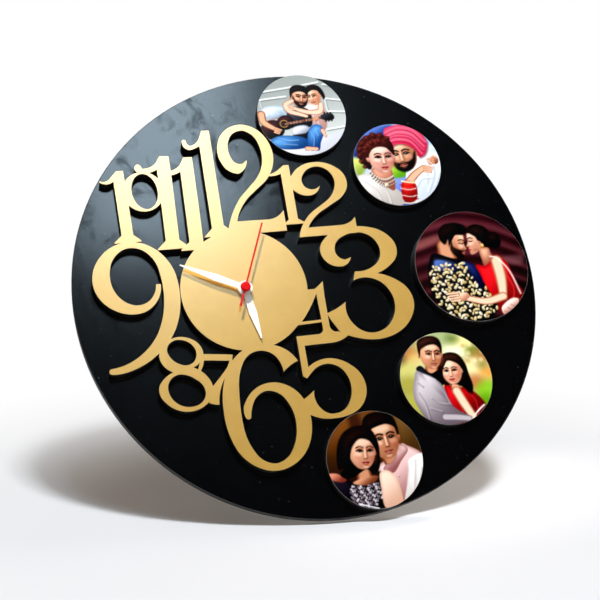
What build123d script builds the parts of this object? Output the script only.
"""Round wall clock with a cut-out numeral plate and five picture discs.

Millimetres. The front faces -Y, +X is to the viewer's right and +Z is up. The pieces are laid out
about the middle of the base board with y = 0 on its front face, and every piece is moved at the end
so that the origin lies on the axis of the hanging hole, on the rear face of the hanger plate.
"""
import os
from math import atan2, cos, pi, radians, sin

from build123d import *

# Driving sizes of the boards
BASE_D = 305.0
BASE_T = 5.5
PLATE_T = 5.5
FACING_T = 0.8
PRINT_T = 0.4
PHOTO_SMALL_D = 61.0
PHOTO_LARGE_D = 78.0

# Driving sizes of the movement
CASE_DEPTH = 16.0
CASE_WALL = 1.5
COVER_T = 1.5
RUBBER_T = 0.6
RUBBER_D = 28.0
BUSH_D = 8.0
BATTERY_D = 14.2
BATTERY_L = 49.2
CONTACT_ROOM = 1.9
RUNNING = 0.05

# Driving sizes of the hands
HAND_T = 0.45
HUB_D = 9.4
CAP_D = 6.4

# Driving sizes of the hanger
HANGER_T = 1.5
HANGER_H = 15.0
HANGER_EDGE = 5.0
HANGER_HOLE_D = 8.0
HANG_X = -3.0

# Time shown at rest, as degrees clockwise from twelve
HOUR_ANGLE = 170.6
MINUTE_ANGLE = 295.8
SECOND_ANGLE = 22.0

# Sizes that follow from the ones above
FACE = BASE_D / 305.0
DIAL_R = 40.6 * FACE
DIAL_X = -45.5 * FACE
DIAL_Z = -2.2 * FACE
HANG_Z = 112.0 * FACE
FRONT_Y = -PLATE_T - FACING_T
CASE_Y = BASE_T + RUBBER_T
INNER_Y = CASE_Y + CASE_WALL
RIM_Y = CASE_Y + CASE_DEPTH
REAR_Y = RIM_Y + COVER_T
HANGER_Y = BASE_T + HANGER_T

os.makedirs("parts", exist_ok=True)
HOME = Location((-HANG_X, -HANGER_Y, -HANG_Z))


def save(shape, name):
    """Move a finished piece to the hanging hole's frame and write it."""
    export_step(shape.moved(HOME), "parts/" + name + ".step")


def prism(face, y_back, y_front):
    """Solid of a flat drawing (x, z) between two depths."""
    return extrude(Pos(0, y_back, 0) * (Plane.XZ * face), y_back - y_front)


def rod(radius, y_back, y_front, x=0.0, z=0.0):
    """Round bar along Y."""
    return prism(Pos(x, z) * Circle(radius), y_back, y_front)


def block(x0, x1, z0, z1, y_back, y_front):
    """Square-cornered block."""
    return prism(Pos((x0 + x1) / 2, (z0 + z1) / 2) * Rectangle(x1 - x0, z1 - z0), y_back, y_front)


def outline(start, *runs):
    """Face inside a drawn loop. A run of one point is a straight line, a run of two is an arc."""
    edges = []
    here = start
    for run in runs:
        points = [(x * FACE, z * FACE) for x, z in [here] + run]
        if len(points) == 2:
            edges.append(Line(points[0], points[1]))
        else:
            edges.append(ThreePointArc(*points))
        here = run[-1]
    if here != start:
        edges.append(Line((here[0] * FACE, here[1] * FACE), (start[0] * FACE, start[1] * FACE)))
    face = Face(Wire(edges))
    return face if face.normal_at().Z > 0 else -face


# Numerals, drawn in millimetres from the middle of the dial on a 305 mm clock
ten_one = outline(
    (-82.0, 81.6), [(-79.0, 81.0), (-76.5, 82.1)], [(-70.9, 87.9)], [(-66.6, 87.9)], [(-66.2, 79.0)],
    [(-65.2, 43.0)], [(-60.6, 38.8)], [(-60.6, 38.0)], [(-77.6, 38.0)], [(-77.2, 38.8)], [(-72.5, 43.0)],
    [(-73.4, 81.0)], [(-78.6, 79.2), (-82.4, 81.0)],
)
ten_zero = Pos(-55.4 * FACE, 72.3 * FACE) * Ellipse(13.1 * FACE, 13.9 * FACE)
ten_zero -= Pos(-54.5 * FACE, 72.4 * FACE) * Rot(0, 0, 4) * Ellipse(8.3 * FACE, 12.5 * FACE)

eleven_left = outline(
    (-54.4, 88.4), [(-49.4, 89.0), (-44.8, 92.3)], [(-42.0, 96.6)], [(-36.2, 96.2)], [(-36.0, 85.0)],
    [(-36.7, 37.3)], [(-33.0, 33.9)], [(-33.0, 31.2)], [(-51.3, 31.2)], [(-50.6, 32.2)], [(-45.3, 37.2)],
    [(-44.7, 87.4)], [(-51.0, 85.2), (-57.2, 86.2)], [(-59.1, 89.0), (-57.0, 91.7)],
    [(-55.4, 90.8), (-54.4, 88.4)],
)
eleven_right = outline(
    (-36.6, 85.5), [(-32.7, 86.8), (-29.1, 90.2)], [(-26.7, 94.6)], [(-21.0, 94.5)], [(-21.2, 60.0)],
    [(-21.7, 30.0)], [(-24.0, 29.4)], [(-36.5, 29.4)], [(-36.0, 30.4)], [(-30.4, 35.2)], [(-29.8, 84.7)],
    [(-33.0, 83.2), (-36.6, 82.5)],
)
twelve_one = outline(
    (-12.2, 113.2), [(-7.6, 113.1)], [(-7.2, 112.5)], [(-7.0, 45.0)], [(-4.2, 42.0)], [(4.0, 41.0)],
    [(4.0, 37.4)], [(-20.6, 37.4)], [(-14.8, 43.2)], [(-14.9, 102.4)], [(-18.2, 100.6), (-21.8, 99.8)],
    [(-25.2, 101.9), (-26.1, 105.2)], [(-25.0, 107.3), (-23.4, 106.6)], [(-22.9, 104.1), (-20.8, 102.7)],
    [(-17.2, 104.3), (-14.4, 108.2)],
)
twelve_two = outline(
    (14.8, 89.6), [(12.5, 83.6), (7.9, 80.3)], [(2.0, 82.8), (-2.0, 88.5)], [(-3.8, 96.6), (-2.2, 104.6)],
    [(4.6, 113.3), (14.3, 116.1)], [(22.4, 113.4), (28.5, 107.4)], [(32.4, 98.3), (32.7, 88.8)],
    [(29.9, 80.5), (24.4, 73.2)], [(13.4, 64.3)], [(7.0, 57.0), (2.1, 46.6)], [(21.0, 46.4)],
    [(28.4, 47.6), (33.4, 51.8)], [(33.7, 51.8)], [(33.7, 37.6)], [(-5.6, 37.6)], [(-4.3, 41.4)],
    [(-0.1, 52.4), (6.7, 63.3)], [(15.5, 72.0)], [(21.3, 78.8), (24.6, 86.0)], [(25.5, 94.0), (24.2, 102.0)],
    [(20.9, 108.1), (15.9, 111.5)], [(10.4, 111.0), (6.0, 107.4)], [(3.5, 99.6), (4.9, 91.4)],
    [(7.9, 87.8), (11.6, 87.2)],
)
one = outline(
    (27.6, 78.2), [(31.6, 79.3), (35.2, 81.6)], [(38.6, 84.2)], [(42.3, 84.2)], [(42.3, 45.3)],
    [(46.5, 42.6)], [(46.5, 41.7)], [(33.2, 41.7)], [(33.2, 42.8)], [(36.2, 45.1)], [(36.1, 78.4)],
    [(31.9, 77.1), (27.6, 77.2)],
)
two = outline(
    (60.9, 67.8), [(57.6, 62.8), (52.4, 61.1)], [(47.0, 62.4), (42.7, 66.1)], [(41.2, 71.4), (43.2, 76.7)],
    [(50.2, 82.8), (59.3, 85.0)], [(67.4, 83.9), (74.4, 79.9)], [(79.2, 73.0), (78.6, 64.0)],
    [(75.7, 59.9), (72.0, 56.8)], [(61.7, 50.9)], [(54.2, 45.9), (48.2, 38.4)], [(69.6, 38.4)],
    [(75.6, 39.6), (80.7, 43.4)], [(80.6, 34.0)], [(80.0, 32.2)], [(41.3, 32.2)], [(45.6, 41.9), (53.2, 49.7)],
    [(63.0, 56.0)], [(68.2, 60.9), (71.2, 67.4)], [(70.9, 73.8), (68.0, 78.6)], [(62.6, 81.6), (56.5, 81.2)],
    [(51.5, 77.6), (49.3, 73.1)], [(50.0, 68.7), (53.0, 65.9)], [(57.1, 65.4), (60.9, 67.8)],
)
three = outline(
    (72.8, 15.4), [(69.7, 11.1), (64.4, 9.6)], [(58.5, 11.6), (54.5, 16.1)], [(53.3, 21.8), (55.2, 27.2)],
    [(62.2, 33.3), (72.0, 36.4)], [(81.8, 36.6), (91.4, 34.6)], [(98.6, 30.4), (103.4, 24.4)],
    [(104.6, 17.5), (102.0, 11.1)], [(96.0, 6.2), (88.4, 2.7)], [(97.3, -1.0), (104.5, -6.6)],
    [(108.5, -14.0), (108.5, -22.6)], [(104.2, -31.0), (96.5, -37.5)], [(86.8, -41.1), (76.4, -41.4)],
    [(67.8, -39.6), (60.0, -36.4)], [(56.4, -33.9)], [(52.0, -25.6)], [(50.2, -21.3)],
    [(57.3, -18.6), (63.8, -14.8)], [(63.3, -23.3), (67.0, -31.0)], [(72.6, -35.7), (79.6, -37.1)],
    [(87.0, -34.8), (92.5, -29.6)], [(96.2, -19.4), (93.7, -8.4)], [(88.9, -2.8), (82.0, 0.3)],
    [(76.6, 0.6), (71.5, -0.9)], [(73.7, 5.3)], [(82.4, 5.9), (90.0, 10.3)], [(93.1, 16.2), (92.7, 22.6)],
    [(89.0, 28.6), (83.1, 32.0)], [(76.2, 32.3), (69.6, 30.3)], [(64.2, 25.6), (62.9, 20.6)],
    [(64.8, 16.1), (69.0, 14.0)],
)
four = outline(
    (36.0, -4.2), [(45.0, -4.2)], [(48.3, -1.9), (51.2, 0.7)], [(50.7, -8.0)], [(50.5, -30.0)],
    [(52.0, -33.0), (56.0, -33.9)], [(56.0, -37.0)], [(43.0, -37.0)], [(43.0, -34.4)],
    [(45.2, -33.2), (46.0, -31.0)], [(46.0, -26.7)], [(30.0, -27.3)], [(24.0, -22.0)],
)
four -= outline((45.6, -7.2), [(46.0, -25.1)], [(33.0, -25.3)], [(40.0, -16.6), (45.6, -7.2)])
five = outline(
    (28.0, -34.6), [(62.0, -34.5)], [(62.0, -36.7)], [(56.4, -39.8), (50.0, -40.9)], [(32.2, -41.1)],
    [(32.2, -55.4)], [(38.3, -52.0), (45.0, -50.8)], [(53.2, -52.6), (60.0, -57.1)],
    [(65.3, -64.0), (66.9, -71.4)], [(64.9, -79.4), (59.6, -85.5)], [(52.1, -88.6), (43.5, -89.4)],
    [(35.4, -88.5), (28.0, -85.2)], [(24.0, -82.0)], [(24.0, -76.8)], [(26.2, -75.2)],
    [(29.6, -73.2), (33.4, -70.4)], [(33.2, -76.9), (36.2, -82.8)], [(40.0, -85.8), (44.6, -86.5)],
    [(49.6, -85.2), (53.8, -81.5)], [(57.4, -72.3), (55.7, -62.1)], [(51.4, -56.7), (45.1, -54.2)],
    [(38.9, -55.3), (33.4, -59.2)], [(30.3, -62.2)], [(28.0, -60.6)],
)
six = outline(
    (26.3, -50.3), [(20.2, -42.5), (12.0, -38.4)], [(1.9, -37.5), (-7.6, -40.2)],
    [(-14.4, -45.7), (-19.4, -53.0)], [(-23.2, -64.7), (-24.4, -77.0)], [(-23.5, -89.8), (-19.8, -101.8)],
    [(-14.4, -109.3), (-6.7, -114.9)], [(1.0, -117.1), (9.0, -116.4)], [(17.5, -112.2), (24.0, -105.0)],
    [(28.2, -92.7), (27.5, -80.0)], [(23.4, -70.9), (16.4, -64.9)], [(8.6, -62.5), (0.6, -63.5)],
    [(-5.6, -67.1), (-10.3, -72.9)], [(-12.2, -78.2), (-11.4, -83.1)], [(-9.8, -83.9), (-8.4, -83.0)],
    [(-6.9, -76.9), (-4.2, -71.7)], [(-0.4, -68.5), (4.4, -67.3)], [(10.6, -69.4), (15.4, -75.0)],
    [(18.4, -83.3), (18.7, -92.0)], [(17.2, -99.2), (13.9, -106.0)], [(9.2, -110.7), (3.0, -112.9)],
    [(-3.0, -111.1), (-8.2, -106.1)], [(-12.1, -97.6), (-13.8, -88.2)], [(-14.0, -76.3), (-13.1, -64.4)],
    [(-11.4, -55.2), (-7.5, -46.9)], [(-3.2, -42.9), (2.0, -41.3)], [(9.3, -42.9), (14.3, -48.3)],
    [(15.8, -52.3), (16.3, -56.4)], [(20.9, -52.9), (26.3, -50.3)],
)
seven = outline(
    (-33.4, -39.6), [(-13.9, -42.0)], [(-14.8, -47.0)], [(-20.4, -55.8)], [(-24.6, -63.7), (-26.5, -72.6)],
    [(-29.6, -72.1), (-32.4, -70.9)], [(-32.4, -66.0)], [(-28.4, -60.4)], [(-23.4, -55.4)],
    [(-18.4, -49.9)], [(-16.2, -45.7)], [(-32.1, -43.8)], [(-33.1, -47.2), (-34.8, -50.2)],
    [(-36.4, -49.0)], [(-34.6, -44.5), (-33.4, -39.6)],
)
eight = outline(
    (-51.6, -49.3), [(-56.9, -44.9), (-58.9, -39.2)], [(-56.5, -32.3), (-50.6, -28.1)],
    [(-43.5, -27.4), (-36.8, -30.1)], [(-33.0, -34.4), (-31.8, -39.0)], [(-34.3, -44.4), (-39.2, -47.6)],
    [(-33.1, -52.0), (-29.4, -58.0)], [(-29.2, -64.2), (-32.0, -69.6)], [(-37.8, -73.6), (-44.5, -74.9)],
    [(-52.3, -73.0), (-58.7, -67.6)], [(-61.4, -62.2), (-60.8, -56.6)], [(-56.9, -52.3), (-51.6, -49.3)],
)
eight -= outline(
    (-53.8, -35.6), [(-51.5, -30.7), (-46.6, -29.0)], [(-40.6, -30.7), (-36.6, -35.5)],
    [(-36.2, -40.4), (-38.4, -44.3)], [(-42.4, -45.8), (-46.6, -44.9)], [(-51.4, -41.2), (-53.8, -35.6)],
)
eight -= outline(
    (-56.1, -60.3), [(-53.6, -53.5), (-48.5, -51.1)], [(-43.2, -52.2), (-38.5, -55.3)],
    [(-34.6, -59.7), (-33.6, -64.5)], [(-36.4, -69.7), (-42.5, -72.1)], [(-51.9, -69.0), (-56.1, -60.3)],
)
nine = outline(
    (-88.6, -43.4), [(-79.0, -41.5), (-70.0, -36.8)], [(-63.1, -30.9), (-57.5, -23.2)],
    [(-53.4, -13.1), (-51.3, -2.4)], [(-51.0, 7.9), (-52.1, 18.0)], [(-54.8, 25.5), (-59.5, 31.1)],
    [(-65.7, 34.0), (-72.6, 33.5)], [(-78.7, 28.8), (-82.2, 21.0)], [(-82.8, 12.6), (-80.5, 4.9)],
    [(-76.0, -0.8), (-70.0, -4.0)], [(-64.0, -3.8), (-58.6, -0.3)], [(-56.1, 3.9), (-55.0, 8.6)],
    [(-52.2, 8.4)], [(-53.3, 1.8), (-56.2, -3.2)], [(-62.2, -8.2), (-69.5, -9.9)],
    [(-78.7, -8.1), (-86.4, -3.1)], [(-91.9, 4.6), (-93.8, 13.1)], [(-92.1, 22.1), (-87.1, 30.0)],
    [(-79.2, 36.0), (-69.4, 38.4)], [(-60.0, 36.5), (-52.0, 31.5)], [(-45.7, 23.6), (-42.0, 14.0)],
    [(-41.0, 4.3), (-41.5, -5.2)], [(-43.9, -15.4), (-48.0, -24.4)], [(-52.8, -30.8), (-58.9, -36.6)],
    [(-67.8, -42.4), (-77.8, -46.1)], [(-83.2, -47.0), (-88.7, -46.8)], [(-89.8, -45.0), (-88.6, -43.4)],
)

numerals = Circle(DIAL_R)
for glyph in (twelve_one, twelve_two, eleven_right, eleven_left, ten_zero, ten_one, nine, eight,
              seven, six, five, four, three, two, one):
    numerals += glyph
numerals = Pos(DIAL_X, DIAL_Z) * numerals

# Base board, with a bush hole, a nail pocket and two screw holes in its back
HANGER_PITCH = 26.0
SCREW_D = 3.0
SCREW_L = 4.0
base = chamfer(rod(BASE_D / 2, BASE_T, 0.0).edges(), 0.5)
base -= rod(BUSH_D / 2 + 0.2, BASE_T, 0.0, DIAL_X, DIAL_Z)
base -= rod(HANGER_HOLE_D / 2 + 2.0, BASE_T, BASE_T - 3.0, HANG_X, HANG_Z)
for side in (-1, 1):
    base -= rod(SCREW_D / 2, BASE_T, BASE_T - SCREW_L, HANG_X + side * HANGER_PITCH / 2, HANG_Z)
save(base, "base_disc")

# Numeral plate in two layers, with a pocket behind the dial for the fixing nut
NUT_POCKET = 4.0
ARBOR_HOLE_D = 6.4
backing = prism(numerals, 0.0, -PLATE_T)
backing -= rod(9.0, 0.0, -NUT_POCKET, DIAL_X, DIAL_Z)
backing -= rod(ARBOR_HOLE_D / 2, 0.0, -PLATE_T, DIAL_X, DIAL_Z)
save(backing, "numeral_backing")
facing = prism(numerals, -PLATE_T, FRONT_Y)
facing -= rod(ARBOR_HOLE_D / 2, -PLATE_T, FRONT_Y, DIAL_X, DIAL_Z)
save(facing, "numeral_facing")

# Picture discs, each set out from the dial's middle by an angle and the clear distance to its edge
PICTURES = (
    (64.5, 103.6, PHOTO_SMALL_D),
    (34.1, 111.3, PHOTO_SMALL_D),
    (0.8, 115.1, PHOTO_LARGE_D),
    (-30.9, 109.7, PHOTO_SMALL_D),
    (-61.5, 103.5, PHOTO_SMALL_D),
)
for index, (angle, clear, across) in enumerate(PICTURES, start=1):
    reach = clear * FACE + across / 2
    disc_x = DIAL_X + reach * cos(radians(angle))
    disc_z = DIAL_Z + reach * sin(radians(angle))
    save(rod(across / 2, 0.0, -PLATE_T, disc_x, disc_z), "photo_disc_" + str(index))
    save(rod(across / 2, -PLATE_T, -PLATE_T - PRINT_T, disc_x, disc_z), "photo_print_" + str(index))


# Movement. Its gears are drawn about the hand axis and moved to the dial with the rest.
def gear(teeth, module, y_back, y_front, x=0.0, z=0.0, phase=0.0):
    """Spur gear with straight-sided teeth; phase is the direction of one tooth in radians."""
    pitch = teeth * module / 2
    half = pi / (2 * teeth)
    points = []
    for tooth in range(teeth):
        middle = phase + 2 * pi * tooth / teeth
        for radius, turn in ((pitch - 1.1 * module, -1.3), (pitch + 0.7 * module, -0.35),
                             (pitch + 0.7 * module, 0.35), (pitch - 1.1 * module, 1.3)):
            points.append((x + radius * cos(middle + turn * half), z + radius * sin(middle + turn * half)))
    return prism(Face(Wire.make_polygon([(px, pz, 0) for px, pz in points], close=True)), y_back, y_front)


def mate_phase(teeth_a, phase_a, from_a, teeth_b, to_b):
    """Phase for gear b so that its tooth gap faces a tooth of gear a."""
    line = atan2(to_b[1] - from_a[1], to_b[0] - from_a[0])
    turn_a = (line - phase_a) * teeth_a / (2 * pi)
    return line + pi - (0.5 - turn_a) * 2 * pi / teeth_b


def polar(distance, angle, start=(0.0, 0.0)):
    """Point at a distance and an angle in degrees from a start point."""
    return (start[0] + distance * cos(radians(angle)), start[1] + distance * sin(radians(angle)))


MOVE = Pos(DIAL_X, 0, DIAL_Z)
AXIS = (0.0, 0.0)
ARBOR_R = 0.8
THIRD_AT = polar(10.2, 40.0)
MOTION_AT = polar(10.8, 180.0)
MIDDLE_AT = polar(8.4, 135.0)
ROTOR_AT = polar(7.0, 110.0, MIDDLE_AT)
INSIDE = BATTERY_L / 2 + CONTACT_ROOM
HALF = INSIDE + CASE_WALL
BAY_TOP = -INSIDE + BATTERY_D + 0.4
POSTS = tuple((sx * (INSIDE - 2.4), z) for sx in (-1, 1) for z in (INSIDE - 2.4, BAY_TOP + 3.6))

# Depths of the train, measured back from the inside of the case front
HOUR_Y = INNER_Y + 1.0
CANNON_Y = INNER_Y + 2.6
CENTRE_Y = INNER_Y + 4.0
PLATE_Y = INNER_Y + 5.6
THIRD_Y = INNER_Y + 7.2
SECOND_Y = INNER_Y + 8.6
MIDDLE_Y = INNER_Y + 10.0
STATOR_Y = INNER_Y + 11.6
PIVOT_IN = 0.8
SECOND_TIP = FRONT_Y - 5.2

# Case front with side walls, a bay for the cell, posts and pivot holes
case = block(-HALF, HALF, -HALF, HALF, RIM_Y, CASE_Y)
case = fillet(case.edges().filter_by(Axis.Y), 3.0)
hollow = block(-INSIDE, INSIDE, BAY_TOP + CASE_WALL, INSIDE, RIM_Y, INNER_Y)
hollow += block(-INSIDE, INSIDE, -INSIDE, BAY_TOP, RIM_Y, INNER_Y)
case -= hollow
for post_x, post_z in POSTS:
    case += rod(2.0, PLATE_Y, INNER_Y, post_x, post_z)
case -= rod(BUSH_D / 2, INNER_Y, CASE_Y)
for pivot in (THIRD_AT, MOTION_AT):
    case -= rod(ARBOR_R + RUNNING, INNER_Y, INNER_Y - PIVOT_IN, pivot[0], pivot[1])
save(MOVE * case, "movement_case")

# Train plate between the front and rear halves of the train
plate = block(-INSIDE, INSIDE, BAY_TOP + CASE_WALL, INSIDE, PLATE_Y + 1.0, PLATE_Y)
for hole in (AXIS, THIRD_AT, MOTION_AT, MIDDLE_AT, ROTOR_AT):
    plate -= rod(ARBOR_R + RUNNING, PLATE_Y + 1.0, PLATE_Y, hole[0], hole[1])
BOARD_Y = INNER_Y + 10.4
BOARD_W = 8.1
BOARD_X = INSIDE - BOARD_W / 2 - 0.2
for stud_z in (BAY_TOP + 8.9, INSIDE - 14.5):
    plate += rod(1.5, BOARD_Y, PLATE_Y + 1.0, BOARD_X, stud_z)
save(MOVE * plate, "train_plate")

# Rear cover with pillars onto the train plate, pivot holes and a well for the setting knob
KNOB_D = 9.0
KNOB_Y = RIM_Y - 1.2
cover = block(-HALF, HALF, BAY_TOP, HALF, REAR_Y, RIM_Y)
cover = fillet(cover.edges().filter_by(Axis.Y).sort_by(Axis.Z)[-2:], 3.0)
for post_x, post_z in POSTS:
    cover += rod(2.0, RIM_Y, PLATE_Y + 1.0, post_x, post_z)
for boss in (AXIS, THIRD_AT, MIDDLE_AT, ROTOR_AT):
    cover += rod(ARBOR_R + 0.9, RIM_Y, RIM_Y - 0.8, boss[0], boss[1])
cover += rod(KNOB_D / 2 + 1.8, RIM_Y, KNOB_Y - 1.0, MOTION_AT[0], MOTION_AT[1])
cover -= rod(KNOB_D / 2 + 0.9, REAR_Y, KNOB_Y, MOTION_AT[0], MOTION_AT[1])
cover -= rod(ARBOR_R + RUNNING, KNOB_Y, KNOB_Y - 1.0, MOTION_AT[0], MOTION_AT[1])
for boss in (AXIS, THIRD_AT, MIDDLE_AT, ROTOR_AT):
    cover -= rod(ARBOR_R + RUNNING, RIM_Y + 0.4, RIM_Y - 0.8, boss[0], boss[1])
save(MOVE * cover, "movement_cover")

# Threaded bush, washers and nut that clamp the movement to the base board
HOUR_TUBE_R = 2.5
CANNON_R = 1.8
BUSH_END = -3.2
bush = rod(BUSH_D / 2, INNER_Y, BUSH_END) + rod(5.5, INNER_Y + 0.8, INNER_Y)
bush -= rod(HOUR_TUBE_R + RUNNING, INNER_Y + 0.8, BUSH_END)
save(MOVE * bush, "threaded_bush")
rubber = rod(RUBBER_D / 2, CASE_Y, BASE_T) - rod(BUSH_D / 2 + 0.2, CASE_Y, BASE_T)
save(MOVE * rubber, "rubber_washer")
washer = rod(7.4, 0.0, -0.5) - rod(BUSH_D / 2 + 0.2, 0.0, -0.5)
save(MOVE * washer, "brass_washer")
nut = prism(RegularPolygon(6.9, 6), -0.5, -2.7) - rod(BUSH_D / 2, -0.5, -2.7)
save(MOVE * nut, "fixing_nut")

# Front half of the train: hour wheel, minute wheel with its cannon, and the motion wheel
hour_tip = FRONT_Y - 1.6
minute_tip = FRONT_Y - 3.2
phase_cannon = 0.0
phase_motion = mate_phase(12, phase_cannon, AXIS, 36, MOTION_AT)
phase_pinion = 0.0
phase_hour = mate_phase(10, phase_pinion, MOTION_AT, 40, AXIS)
hour_wheel = gear(40, 0.432, HOUR_Y + 1.2, HOUR_Y, phase=phase_hour)
hour_wheel += rod(HOUR_TUBE_R, HOUR_Y, hour_tip)
hour_wheel -= rod(CANNON_R + RUNNING, HOUR_Y + 1.2, hour_tip)
save(MOVE * hour_wheel, "hour_wheel")

phase_third_pinion = 0.0
phase_centre = mate_phase(8, phase_third_pinion, THIRD_AT, 64, AXIS)
minute_wheel = gear(12, 0.45, CENTRE_Y, CANNON_Y)
minute_wheel += gear(64, 10.2 / 36, CENTRE_Y + 1.0, CENTRE_Y, phase=phase_centre)
minute_wheel += rod(CANNON_R, CANNON_Y, minute_tip)
minute_wheel -= rod(ARBOR_R + RUNNING, CENTRE_Y + 1.0, minute_tip)
save(MOVE * minute_wheel, "minute_wheel")

motion_wheel = gear(36, 0.45, CANNON_Y + 1.2, CANNON_Y, MOTION_AT[0], MOTION_AT[1], phase_motion)
motion_wheel += gear(10, 0.432, CANNON_Y, HOUR_Y - 0.1, MOTION_AT[0], MOTION_AT[1], phase_pinion)
motion_wheel += rod(ARBOR_R, KNOB_Y + 1.4, INNER_Y - PIVOT_IN + 0.1, MOTION_AT[0], MOTION_AT[1])
save(MOVE * motion_wheel, "motion_wheel")

# Rear half of the train: third wheel, second wheel, intermediate wheel and rotor
PIVOT_END = RIM_Y + 0.3
phase_second_pinion = 0.0
phase_third = mate_phase(8, phase_second_pinion, AXIS, 60, THIRD_AT)
third_wheel = gear(60, 0.3, THIRD_Y + 0.8, THIRD_Y, THIRD_AT[0], THIRD_AT[1], phase_third)
third_wheel += gear(8, 10.2 / 36, CENTRE_Y + 1.1, CENTRE_Y - 0.1, THIRD_AT[0], THIRD_AT[1])
third_wheel += rod(ARBOR_R, PIVOT_END, INNER_Y - PIVOT_IN + 0.1, THIRD_AT[0], THIRD_AT[1])
save(MOVE * third_wheel, "third_wheel")

phase_middle_pinion = 0.0
phase_second = mate_phase(10, phase_middle_pinion, MIDDLE_AT, 50, AXIS)
second_wheel = gear(50, 0.28, SECOND_Y + 0.8, SECOND_Y, phase=phase_second)
second_wheel += gear(8, 0.3, SECOND_Y, THIRD_Y - 0.2)
second_wheel += rod(ARBOR_R, PIVOT_END, SECOND_TIP)
save(MOVE * second_wheel, "second_wheel")

phase_rotor = 0.0
phase_middle = mate_phase(8, phase_rotor, ROTOR_AT, 48, MIDDLE_AT)
middle_wheel = gear(48, 0.25, MIDDLE_Y + 0.8, MIDDLE_Y, MIDDLE_AT[0], MIDDLE_AT[1], phase_middle)
middle_wheel += gear(10, 0.28, MIDDLE_Y, SECOND_Y - 0.1, MIDDLE_AT[0], MIDDLE_AT[1])
middle_wheel += rod(ARBOR_R, PIVOT_END, PLATE_Y + 0.1, MIDDLE_AT[0], MIDDLE_AT[1])
save(MOVE * middle_wheel, "intermediate_wheel")

MAGNET_R = 2.5
rotor = gear(8, 0.25, MIDDLE_Y + 0.9, MIDDLE_Y - 0.1, ROTOR_AT[0], ROTOR_AT[1], phase_rotor)
rotor += rod(MAGNET_R, STATOR_Y + 1.2, STATOR_Y - 0.4, ROTOR_AT[0], ROTOR_AT[1])
rotor += rod(ARBOR_R, PIVOT_END, PLATE_Y + 0.1, ROTOR_AT[0], ROTOR_AT[1])
save(MOVE * rotor, "rotor")

# Step motor: stator frame, coil on its upper bar, and the board that drives it
CORE_Z = INSIDE - 4.8
STATOR_W = 33.0
STATOR_BAR = 5.0
STATOR_X = 0.5
outer = STATOR_W / 2
inner = outer - STATOR_BAR
stator = block(STATOR_X - outer, STATOR_X + outer, ROTOR_AT[1] - 3.6, CORE_Z + 1.5, STATOR_Y + 0.8, STATOR_Y)
stator -= block(STATOR_X - inner, STATOR_X + inner, ROTOR_AT[1] + 3.6, CORE_Z - 1.5, STATOR_Y + 0.8, STATOR_Y)
stator -= rod(MAGNET_R + 0.4, STATOR_Y + 0.8, STATOR_Y, ROTOR_AT[0], ROTOR_AT[1])
for side in (-1, 1):
    leg_x = STATOR_X + side * (outer - STATOR_BAR / 2)
    stator += rod(1.2, STATOR_Y, PLATE_Y + 1.0, leg_x, CORE_Z - 4.0)
save(MOVE * stator, "stator")
coil_y = STATOR_Y + 0.4
bobbin = block(-9.5, 10.5, CORE_Z - 1.9, CORE_Z + 1.9, coil_y + 0.8, coil_y - 0.8)
for flange_x in (-9.5, 9.7):
    bobbin += block(flange_x, flange_x + 0.8, CORE_Z - 2.3, CORE_Z + 2.3, coil_y + 2.0, coil_y - 2.0)
bobbin -= block(-9.5, 10.5, CORE_Z - 1.5, CORE_Z + 1.5, coil_y + 0.4, coil_y - 0.4)
save(MOVE * bobbin, "coil_bobbin")
winding = block(-8.7, 9.7, CORE_Z - 2.2, CORE_Z + 2.2, coil_y + 1.9, coil_y - 1.9)
winding = fillet(winding.edges().filter_by(Axis.X), 0.8)
winding -= block(-8.7, 9.7, CORE_Z - 1.9, CORE_Z + 1.9, coil_y + 0.8, coil_y - 0.8)
save(MOVE * winding, "coil_winding")
board_z0 = BAY_TOP + 7.0
board_z1 = INSIDE - 11.5
board = block(BOARD_X - BOARD_W / 2, BOARD_X + BOARD_W / 2, board_z0, board_z1, BOARD_Y + 0.8, BOARD_Y)
save(MOVE * board, "circuit_board")
board_l = board_z1 - board_z0
chip = rod(2.4, BOARD_Y + 1.6, BOARD_Y + 0.8, BOARD_X, board_z0 + 0.3 * board_l)
save(MOVE * chip, "timing_chip")
crystal = Pos(BOARD_X, BOARD_Y + 1.8, board_z0 + 0.75 * board_l) * Cylinder(1.0, 6.0)
save(MOVE * crystal, "quartz_crystal")

# Cell and its two leaf contacts
CELL_Y = INNER_Y + BATTERY_D / 2 + 0.1
CELL_Z = -INSIDE + BATTERY_D / 2 + 0.2
cell = Pos(-0.65, CELL_Y, CELL_Z) * Rot(0, 90, 0) * Cylinder(BATTERY_D / 2, BATTERY_L)
cell = chamfer(cell.edges(), 0.5)
cell += Pos(BATTERY_L / 2, CELL_Y, CELL_Z) * Rot(0, 90, 0) * Cylinder(2.7, 1.3)
save(MOVE * cell, "battery_cell")
for name, wall_x, tip_x in (
    ("positive_contact", INSIDE, BATTERY_L / 2 + 0.65),
    ("negative_contact", -INSIDE, -BATTERY_L / 2 - 0.65),
):
    back = 0.35 if wall_x < 0 else -0.35
    leaf = Polyline((wall_x, CELL_Y - 6.0), (wall_x, CELL_Y + 6.0), (wall_x + back, CELL_Y + 6.0),
                    (wall_x + back, CELL_Y + 4.0), (tip_x, CELL_Y + 0.6), (tip_x, CELL_Y - 0.6),
                    (wall_x + back, CELL_Y - 4.0), (wall_x + back, CELL_Y - 6.0), close=True)
    sheet = extrude(Pos(0, 0, CELL_Z - 2.5) * make_face(leaf), 5.0)
    save(MOVE * sheet, name)

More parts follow.
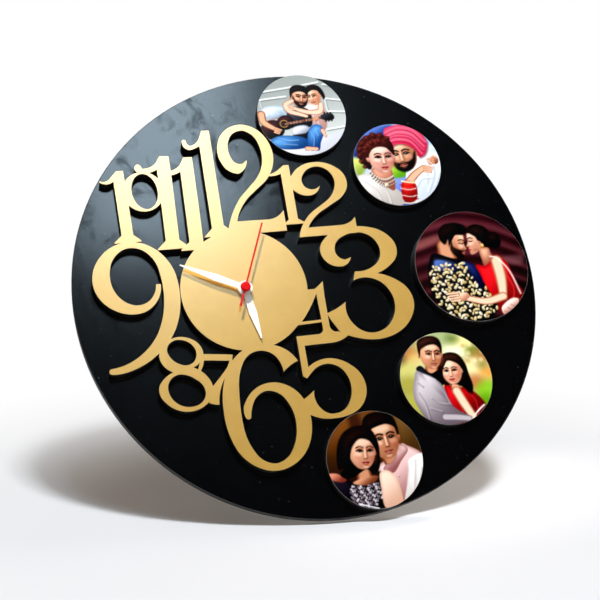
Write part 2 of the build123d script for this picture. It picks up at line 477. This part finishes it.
# Setting knob on the motion wheel's arbor, sunk in the cover's well
knob = gear(18, KNOB_D / 19.4, KNOB_Y + 2.4, KNOB_Y + 0.1, MOTION_AT[0], MOTION_AT[1])
knob -= rod(ARBOR_R, KNOB_Y + 1.4, KNOB_Y + 0.1, MOTION_AT[0], MOTION_AT[1])
save(MOVE * knob, "setting_knob")


# Hands, drawn pointing at twelve and turned to the time shown
def hand(reach, root, waist, waist_at, tip, hole_r, y_back, angle):
    """Flat leaf-shaped hand with a round hub."""
    leaf = Polyline((-root, 0.0), (-root, HUB_D / 2), (-waist, waist_at * reach), (-tip, reach),
                    (tip, reach), (waist, waist_at * reach), (root, HUB_D / 2), (root, 0.0), close=True)
    shape = make_face(leaf) + Circle(HUB_D / 2)
    shape -= Circle(hole_r)
    return prism(Rot(0, 0, -angle) * shape, y_back, y_back - HAND_T)


hour_y = FRONT_Y - 1.0
minute_y = FRONT_Y - 2.6
second_y = FRONT_Y - 4.0
hour_hand = hand(0.84 * DIAL_R, 2.1, 2.6, 0.5, 0.45, HOUR_TUBE_R, hour_y, HOUR_ANGLE)
hour_hand += rod(3.6, FRONT_Y - 0.5, hour_y) - rod(HOUR_TUBE_R, FRONT_Y - 0.5, hour_y)
save(MOVE * hour_hand, "hour_hand")
minute_hand = hand(1.07 * DIAL_R, 1.9, 2.4, 0.46, 0.35, CANNON_R, minute_y, MINUTE_ANGLE)
minute_hand += rod(2.8, hour_tip - 0.3, minute_y) - rod(CANNON_R, hour_tip - 0.3, minute_y)
save(MOVE * minute_hand, "minute_hand")
needle = Polyline((-0.75, -0.33 * DIAL_R), (-0.55, 0.0), (-0.55, 1.13 * DIAL_R), (0.55, 1.13 * DIAL_R),
                  (0.55, 0.0), (0.75, -0.33 * DIAL_R), close=True)
second_shape = make_face(needle) + Circle(2.4)
second_shape -= Circle(ARBOR_R)
second_hand = prism(Rot(0, 0, -SECOND_ANGLE) * second_shape, second_y, second_y - HAND_T)
save(MOVE * second_hand, "second_hand")
cap_back = second_y - HAND_T
cap = rod(CAP_D / 2, cap_back, cap_back - 1.4)
cap = fillet(cap.faces().sort_by(Axis.Y)[0].edges(), 0.9)
cap -= rod(ARBOR_R, cap_back, SECOND_TIP)
save(MOVE * cap, "second_hand_cap")

# Hanger plate and its two screws at the top of the back
PLATE_W = HANGER_PITCH + 2 * HANGER_EDGE
hanger = prism(Pos(HANG_X, HANG_Z) * RectangleRounded(PLATE_W, HANGER_H, 3.0), HANGER_Y, BASE_T)
hanger -= rod(HANGER_HOLE_D / 2, HANGER_Y, BASE_T, HANG_X, HANG_Z)
screws = None
for side in (-1, 1):
    screw_x = HANG_X + side * HANGER_PITCH / 2
    hanger -= rod(SCREW_D / 2, HANGER_Y, BASE_T, screw_x, HANG_Z)
    screw = rod(SCREW_D / 2, HANGER_Y, BASE_T - SCREW_L, screw_x, HANG_Z)
    head = rod(2.8, HANGER_Y + 1.3, HANGER_Y, screw_x, HANG_Z)
    head = chamfer(head.faces().sort_by(Axis.Y)[-1].edges(), 0.5)
    head -= block(screw_x - 2.8, screw_x + 2.8, HANG_Z - 0.4, HANG_Z + 0.4, HANGER_Y + 1.3, HANGER_Y + 0.7)
    screws = screw + head if screws is None else screws + screw + head
save(hanger, "hanger_plate")
save(screws, "hanger_screws")
